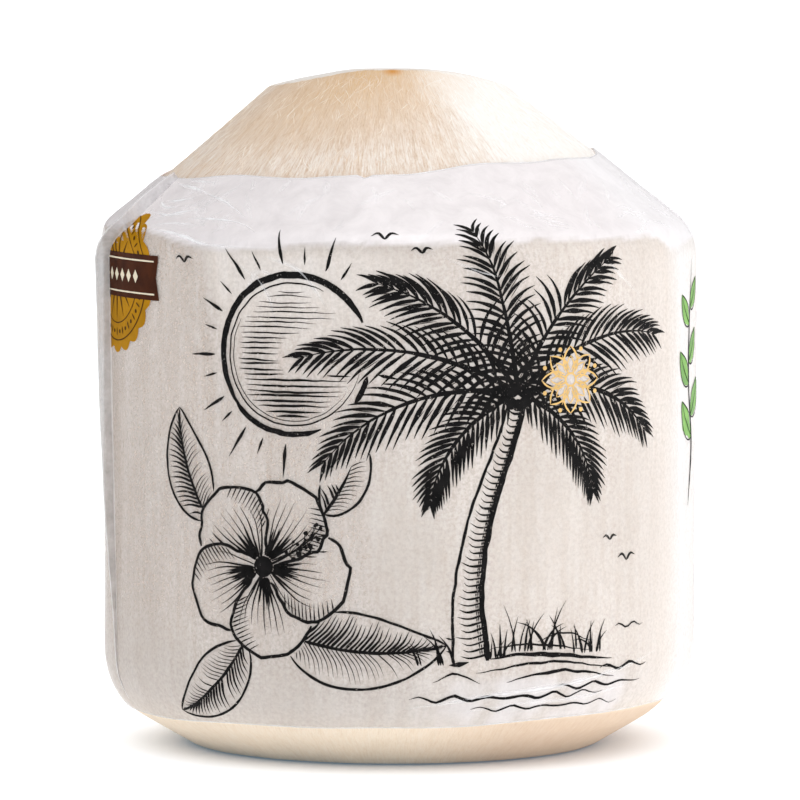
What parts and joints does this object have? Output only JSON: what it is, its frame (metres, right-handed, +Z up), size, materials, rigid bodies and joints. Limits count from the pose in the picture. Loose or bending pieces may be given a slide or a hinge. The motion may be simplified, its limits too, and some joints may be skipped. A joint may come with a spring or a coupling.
{
  "type": "trimmed young coconut in film",
  "caption": "Whole young drinking coconut with its husk pared to a drum with cone ends, shrunk into a thin printed film sleeve, standing on its flat base.",
  "frame": {"origin": "on the drum's axis, in the plane of the flat base that the nut stands on", "axes": "+Z up along the drum's axis towards the cut tip, -Y towards the printed front, +X to the right of someone who faces the front"},
  "size_m": [0.1144, 0.1126, 0.1276],
  "materials": {
    "pared_husk": "matte, fibrous, pared with a knife",
    "printed_film": "clear to milky heat-shrunk film, satin"
  },
  "bodies": {
    "root": {"coconut": "pared_husk", "film_sleeve": "printed_film"}
  },
  "joints": []
}
